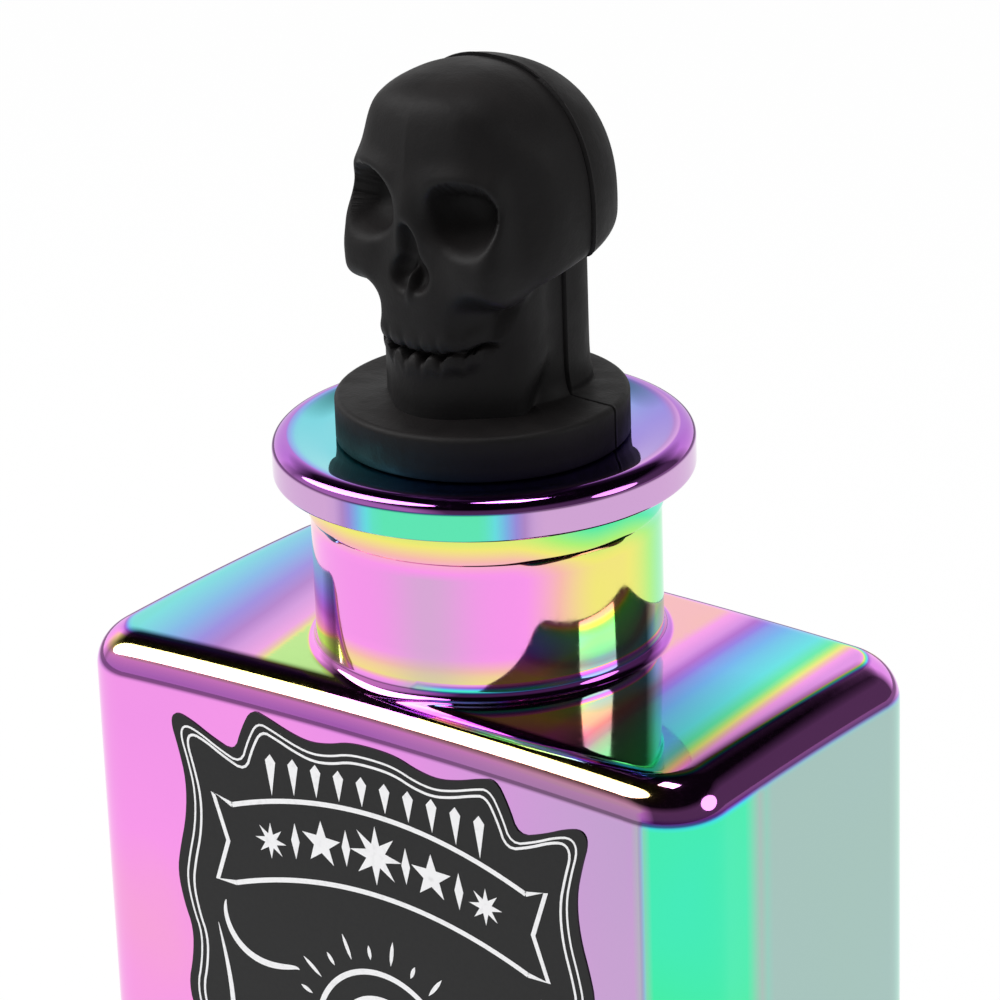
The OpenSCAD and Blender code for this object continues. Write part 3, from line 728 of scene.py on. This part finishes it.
def film_group():
    """Colour of a thin film: its order on one turn of interference colours, washed towards a pale tone."""
    if "Film colour" in bpy.data.node_groups:
        return bpy.data.node_groups["Film colour"]
    g = bpy.data.node_groups.new("Film colour", "ShaderNodeTree")
    for name, kind in (("Order", "NodeSocketFloat"), ("Wash", "NodeSocketFloat"), ("Pale", "NodeSocketColor")):
        g.interface.new_socket(name, in_out="INPUT", socket_type=kind)
    g.interface.new_socket("Color", in_out="OUTPUT", socket_type="NodeSocketColor")
    inside, out = g.nodes.new("NodeGroupInput"), g.nodes.new("NodeGroupOutput")
    wrap = node(g, "ShaderNodeMath", {0: inside.outputs["Order"]}, operation="FRACT")
    ramp = node(g, "ShaderNodeValToRGB", {0: wrap.outputs[0]})
    stops = ramp.color_ramp.elements
    while len(stops) < len(FILM_COLOURS):
        stops.new(0.5)
    for stop, (place, c) in zip(stops, FILM_COLOURS):
        stop.position = place
        stop.color = rgba(c)
    blend = node(g, "ShaderNodeMix", {0: inside.outputs["Wash"], 6: ramp.outputs[0], 7: inside.outputs["Pale"]}, data_type="RGBA")
    g.links.new(blend.outputs[2], out.inputs[0])
    return g


def film_material():
    """A mirror film on glass. Its colour order drifts a little in soft clouds, and fine grime dulls its gloss."""
    m, t, shader = start_material("coated_glass", Metallic=1.0, Roughness=0.05)
    where = node(t, "ShaderNodeTexCoord")
    order = node(t, "ShaderNodeAttribute", attribute_name="film_order")
    wash = node(t, "ShaderNodeAttribute", attribute_name="film_wash")
    clouds = node(t, "ShaderNodeTexNoise", {0: where.outputs["Object"]}, Scale=38.0, Detail=2.0)
    drift = node(t, "ShaderNodeMath", {0: clouds.outputs["Fac"]}, operation="MULTIPLY_ADD")
    drift.inputs[1].default_value = 0.05
    drift.inputs[2].default_value = -0.025
    total = node(t, "ShaderNodeMath", {0: order.outputs["Fac"], 1: drift.outputs[0]}, operation="ADD")
    group = node(t, "ShaderNodeGroup", node_tree=film_group())
    t.links.new(total.outputs[0], group.inputs["Order"])
    t.links.new(wash.outputs["Fac"], group.inputs["Wash"])
    group.inputs["Pale"].default_value = rgba(bpy.context.scene.finish_colours.silver)
    t.links.new(group.outputs[0], shader.inputs["Base Color"])
    fine = node(t, "ShaderNodeTexNoise", {0: where.outputs["Object"]}, Scale=900.0, Detail=3.0)
    gloss = node(t, "ShaderNodeMapRange", {0: fine.outputs["Fac"]}, From_Min=0.35, From_Max=0.75, To_Min=0.035, To_Max=0.085)
    t.links.new(gloss.outputs[0], shader.inputs["Roughness"])
    wave = node(t, "ShaderNodeTexNoise", {0: where.outputs["Object"]}, Scale=28.0, Detail=1.0)
    bump = node(t, "ShaderNodeBump", {"Height": wave.outputs["Fac"]}, Strength=0.12, Distance=0.0012)
    t.links.new(bump.outputs[0], shader.inputs["Normal"])
    return m


def resin_material():
    """Matte black casting: a fine grain, soft clouds in its gloss, and painted top light: its upward faces are paler
    and warmer in cloudy patches.
    """
    f = bpy.context.scene.finish_colours
    m, t, shader = start_material("head_resin", Roughness=0.6, Specular_IOR_Level=0.22)
    where = node(t, "ShaderNodeTexCoord")
    clouds = node(t, "ShaderNodeTexNoise", {0: where.outputs["Object"]}, Scale=130.0, Detail=4.0)
    # Painted top light: faces that point up are mixed towards the paler tops colour, in cloudy patches.
    normal = node(t, "ShaderNodeSeparateXYZ", {0: where.outputs["Normal"]})
    up = node(t, "ShaderNodeMapRange", {0: normal.outputs[2]}, From_Min=-0.4, From_Max=1.1, To_Min=0.0, To_Max=0.8)
    top_light_share = node(t, "ShaderNodeMath", {0: up.outputs[0], 1: clouds.outputs["Fac"]}, operation="MULTIPLY")
    tone = node(t, "ShaderNodeMix", {0: top_light_share.outputs[0]}, data_type="RGBA")
    tone.inputs[6].default_value, tone.inputs[7].default_value = rgba(f.resin), rgba(f.painted_top_light)
    t.links.new(tone.outputs[2], shader.inputs["Base Color"])
    gloss = node(t, "ShaderNodeMapRange", {0: clouds.outputs["Fac"]}, From_Min=0.3, From_Max=0.7, To_Min=0.50, To_Max=0.66)
    t.links.new(gloss.outputs[0], shader.inputs["Roughness"])
    grain = node(t, "ShaderNodeTexNoise", {0: where.outputs["Object"]}, Scale=2600.0, Detail=2.0)
    swell = node(t, "ShaderNodeTexNoise", {0: where.outputs["Object"]}, Scale=240.0, Detail=2.0)
    fine = node(t, "ShaderNodeBump", {"Height": grain.outputs["Fac"]}, Strength=0.25, Distance=0.00012)
    soft = node(t, "ShaderNodeBump", {"Height": swell.outputs["Fac"], "Normal": fine.outputs[0]}, Strength=0.25, Distance=0.0006)
    t.links.new(soft.outputs[0], shader.inputs["Normal"])
    return m


def label_material():
    """Black printed film with a faint fibre grain."""
    f = bpy.context.scene.finish_colours
    m, t, shader = start_material("label_film", Roughness=0.4, Specular_IOR_Level=0.25)
    where = node(t, "ShaderNodeTexCoord")
    grain = node(t, "ShaderNodeTexNoise", {0: where.outputs["Object"]}, Scale=1500.0, Detail=3.0)
    tone = node(t, "ShaderNodeMix", {0: grain.outputs["Fac"]}, data_type="RGBA")
    tone.inputs[6].default_value, tone.inputs[7].default_value = rgba([c * 0.75 for c in f.label]), rgba([c * 1.25 for c in f.label])
    t.links.new(tone.outputs[2], shader.inputs["Base Color"])
    bump = node(t, "ShaderNodeBump", {"Height": grain.outputs["Fac"]}, Strength=0.1, Distance=0.00005)
    t.links.new(bump.outputs[0], shader.inputs["Normal"])
    return m


def ink_material():
    """White ink, thinner in small patches."""
    f = bpy.context.scene.finish_colours
    m, t, shader = start_material("label_ink", Roughness=0.45)
    where = node(t, "ShaderNodeTexCoord")
    grain = node(t, "ShaderNodeTexNoise", {0: where.outputs["Object"]}, Scale=1100.0, Detail=2.0)
    thin = node(t, "ShaderNodeMapRange", {0: grain.outputs["Fac"]}, From_Min=0.55, From_Max=0.85, To_Min=0.0, To_Max=0.15)
    tone = node(t, "ShaderNodeMix", {0: thin.outputs[0]}, data_type="RGBA")
    tone.inputs[6].default_value, tone.inputs[7].default_value = rgba(f.ink), rgba(f.label)
    t.links.new(tone.outputs[2], shader.inputs["Base Color"])
    return m


def grained(name, dark, light, roughness, scale, metallic=0.0, height=0.00005):
    """A plain finish whose tone and surface vary with one fine noise."""
    if name in bpy.data.materials:
        return bpy.data.materials[name]
    m, t, shader = start_material(name, Roughness=roughness, Metallic=metallic)
    where = node(t, "ShaderNodeTexCoord")
    grain = node(t, "ShaderNodeTexNoise", {0: where.outputs["Object"]}, Scale=scale, Detail=3.0)
    tone = node(t, "ShaderNodeMix", {0: grain.outputs["Fac"]}, data_type="RGBA")
    tone.inputs[6].default_value, tone.inputs[7].default_value = rgba(dark), rgba(light)
    t.links.new(tone.outputs[2], shader.inputs["Base Color"])
    bump = node(t, "ShaderNodeBump", {"Height": grain.outputs["Fac"]}, Strength=0.2, Distance=height)
    t.links.new(bump.outputs[0], shader.inputs["Normal"])
    return m


def plastic_material():
    return grained("black_plastic", (0.018, 0.018, 0.020), (0.032, 0.032, 0.034), 0.42, 1200.0)


def rubber_material():
    return grained("pale_rubber", (0.62, 0.62, 0.59), (0.74, 0.74, 0.71), 0.35, 500.0)


def steel_material():
    return grained("bright_steel", (0.50, 0.51, 0.53), (0.66, 0.67, 0.69), 0.30, 1800.0, metallic=1.0)


# Studio


def floor_material():
    """Matte white that keeps the shadow. The camera sees it mostly plain white, and gloss sees it darken far out."""
    m = bpy.data.materials.new("studio_floor")
    m.use_nodes = True
    t = m.node_tree
    t.nodes.clear()
    plain = node(t, "ShaderNodeBsdfDiffuse", Color=(0.9, 0.9, 0.9, 1))
    where, path = t.nodes.new("ShaderNodeTexCoord"), t.nodes.new("ShaderNodeLightPath")
    reach = node(t, "ShaderNodeVectorMath", {0: where.outputs["Object"]}, operation="LENGTH")
    fade = node(t, "ShaderNodeMapRange", {0: reach.outputs["Value"]}, From_Min=0.46, From_Max=0.80, To_Min=1.0, To_Max=0.28)
    level = node(t, "ShaderNodeMath", {0: path.outputs["Is Camera Ray"], 1: fade.outputs[0]}, operation="MAXIMUM")
    glow = node(t, "ShaderNodeEmission", {"Strength": level.outputs[0]}, Color=(1, 1, 1, 1))
    gloss = node(t, "ShaderNodeMath", {0: path.outputs["Is Glossy Ray"], 1: path.outputs["Is Transmission Ray"]}, operation="MAXIMUM")
    share = node(t, "ShaderNodeMath", {0: path.outputs["Is Camera Ray"]}, operation="MULTIPLY")
    share.inputs[1].default_value = 0.97
    total = node(t, "ShaderNodeMath", {0: share.outputs[0], 1: gloss.outputs[0]}, operation="MAXIMUM")
    blend = node(t, "ShaderNodeMixShader", {0: total.outputs[0], 1: plain.outputs[0], 2: glow.outputs[0]})
    out = t.nodes.new("ShaderNodeOutputMaterial")
    t.links.new(blend.outputs[0], out.inputs[0])
    return m


def studio_world():
    """A pale room: white low down, darker overhead where only gloss sees it."""
    world = bpy.data.worlds.new("studio")
    bpy.context.scene.world = world
    world.use_nodes = True
    t = world.node_tree
    t.nodes.clear()
    where = t.nodes.new("ShaderNodeTexCoord")
    axis = node(t, "ShaderNodeSeparateXYZ", {0: where.outputs["Generated"]})
    height = node(t, "ShaderNodeMapRange", {0: axis.outputs[2]}, From_Min=0.42, From_Max=0.62, To_Min=1.0, To_Max=0.03)
    sides = []
    for way, low, high, least, most in (((-0.609, 0.793, 0), 0.52, 0.74, 0.10, 1.0), ((-0.63, -0.78, 0), 0.55, 0.80, 0.0, 0.45)):
        toward = node(t, "ShaderNodeVectorMath", {0: where.outputs["Generated"]}, operation="DOT_PRODUCT")
        toward.inputs[1].default_value = way
        side = node(t, "ShaderNodeMapRange", {0: toward.outputs["Value"]}, From_Min=low, From_Max=high, To_Min=least, To_Max=most)
        sides.append(side.outputs[0])
    round = node(t, "ShaderNodeMath", {0: sides[0], 1: sides[1]}, operation="ADD")
    dim = node(t, "ShaderNodeMath", {0: height.outputs[0], 1: round.outputs[0]}, operation="MULTIPLY")
    path = t.nodes.new("ShaderNodeLightPath")
    level = node(t, "ShaderNodeMix", {0: path.outputs["Is Glossy Ray"], 3: dim.outputs[0]}, data_type="FLOAT")
    level.inputs[2].default_value = 0.55
    final = node(t, "ShaderNodeMix", {0: path.outputs["Is Camera Ray"], 2: level.outputs[0]}, data_type="FLOAT")
    final.inputs[3].default_value = 1.0
    back = node(t, "ShaderNodeBackground", {1: final.outputs[0]}, Color=(1, 1, 1, 1))
    out = t.nodes.new("ShaderNodeOutputWorld")
    t.links.new(back.outputs[0], out.inputs[0])


def area_lamp(name, direction, distance, size, power, along=(0, 0, 1), shape="RECTANGLE"):
    """A soft lamp that faces the shoulder from a direction, with its second side along the given way."""
    data = bpy.data.lights.new(name, "AREA")
    data.shape = shape
    data.size, data.size_y = size
    data.energy = power
    lamp = bpy.data.objects.new(name, data)
    bpy.context.scene.collection.objects.link(lamp)
    back = np.array(direction) / np.linalg.norm(direction)
    up = np.array(along) - back * np.dot(along, back)
    up /= np.linalg.norm(up)
    side = np.cross(up, back)
    place = back * distance + (0, 0, 0.14)
    lamp.matrix_world = Matrix([[side[i], up[i], back[i], place[i]] for i in range(3)] + [[0, 0, 0, 1]])
    return lamp


CAMERA = dict(azimuth=37.493, elevation=21.505, roll=-1.953, distance=588.228, aim=(2.292, 0.0, 158.635), focal=163.117)


def photo_camera():
    """The camera stands at its distance from the aim, turned by azimuth about Z, then raised, then rolled."""
    a, e, r = (math.radians(CAMERA[k]) for k in ("azimuth", "elevation", "roll"))
    back = np.array([math.sin(a) * math.cos(e), -math.cos(a) * math.cos(e), math.sin(e)])
    right = np.array([math.cos(a), math.sin(a), 0])
    up = np.cross(back, right)
    side, head = right * math.cos(r) + up * math.sin(r), up * math.cos(r) - right * math.sin(r)
    place = (np.array(CAMERA["aim"]) + back * CAMERA["distance"]) * MM
    data = bpy.data.cameras.new("photo_camera")
    data.sensor_width = 36
    data.sensor_fit = "HORIZONTAL"
    data.lens = CAMERA["focal"]
    data.clip_start, data.clip_end = 0.01, 50
    camera = bpy.data.objects.new("photo_camera", data)
    bpy.context.scene.collection.objects.link(camera)
    rows = [[side[i], head[i], back[i], place[i]] for i in range(3)]
    camera.matrix_world = Matrix(rows + [[0, 0, 0, 1]])
    bpy.context.scene.camera = camera


class BOTTLE_OT_studio(bpy.types.Operator):
    """Build the pale floor, the soft lamps, the room and the camera"""

    bl_idname = "bottle.studio"
    bl_label = "Studio"

    def execute(self, context):
        photo_camera()
        ring = np.linspace(0, 2 * np.pi, 65)[:-1]
        points = np.stack([3.5 * np.cos(ring), 3.5 * np.sin(ring), np.full(64, -0.0003)], 1)
        mesh = bpy.data.meshes.new("studio_floor")
        mesh.from_pydata(points.tolist(), [], [list(range(64))])
        mesh.materials.append(floor_material())
        floor = bpy.data.objects.new("studio_floor", mesh)
        context.scene.collection.objects.link(floor)
        studio_world()
        area_lamp("front_softbox", (-0.56, -0.42, 0.70), 1.0, (1.30, 0.48), 8.0, along=(0, 0.89, 0.45), shape="ELLIPSE")
        area_lamp("top_softbox", (0.05, 0.12, 0.99), 1.0, (0.30, 0.20), 2.0, along=(0, 1, 0))
        area_lamp("right_lamp", (0.89, 0.34, 0.35), 1.0, (0.50, 0.50), 1.5, shape="DISK")
        context.scene.view_settings.view_transform = "Standard"
        return {"FINISHED"}


class BOTTLE_PT_panel(bpy.types.Panel):
    """Sizes, colours and builders of the bottle"""

    bl_label = "Bottle"
    bl_idname = "BOTTLE_PT_panel"
    bl_space_type = "VIEW_3D"
    bl_region_type = "UI"
    bl_category = "Bottle"

    def draw(self, context):
        for group in ("bottle_sizes", "stopper_sizes", "label_sizes", "finish_colours"):
            box = self.layout.box()
            settings = getattr(context.scene, group)
            for name in settings.__annotations__:
                box.prop(settings, name)
        for operator in OPERATORS:
            self.layout.operator(operator.bl_idname)


OPERATORS = (BOTTLE_OT_glass, BOTTLE_OT_label, BOTTLE_OT_skull, BOTTLE_OT_plug, BOTTLE_OT_studio)
GROUPS = {"bottle_sizes": BottleSizes, "stopper_sizes": StopperSizes, "label_sizes": LabelSizes, "finish_colours": FinishColours}


def register():
    for cls in (*GROUPS.values(), *OPERATORS, BOTTLE_PT_panel):
        bpy.utils.register_class(cls)
    for name, cls in GROUPS.items():
        setattr(bpy.types.Scene, name, PointerProperty(type=cls))


def unregister():
    for name in GROUPS:
        delattr(bpy.types.Scene, name)
    for cls in reversed((*GROUPS.values(), *OPERATORS, BOTTLE_PT_panel)):
        bpy.utils.unregister_class(cls)


def main():
    register()
    bpy.ops.bottle.glass()
    bpy.ops.bottle.label()
    bpy.ops.bottle.skull()
    bpy.ops.bottle.plug()
    bpy.ops.bottle.studio()


if __name__ == "__main__":
    main()
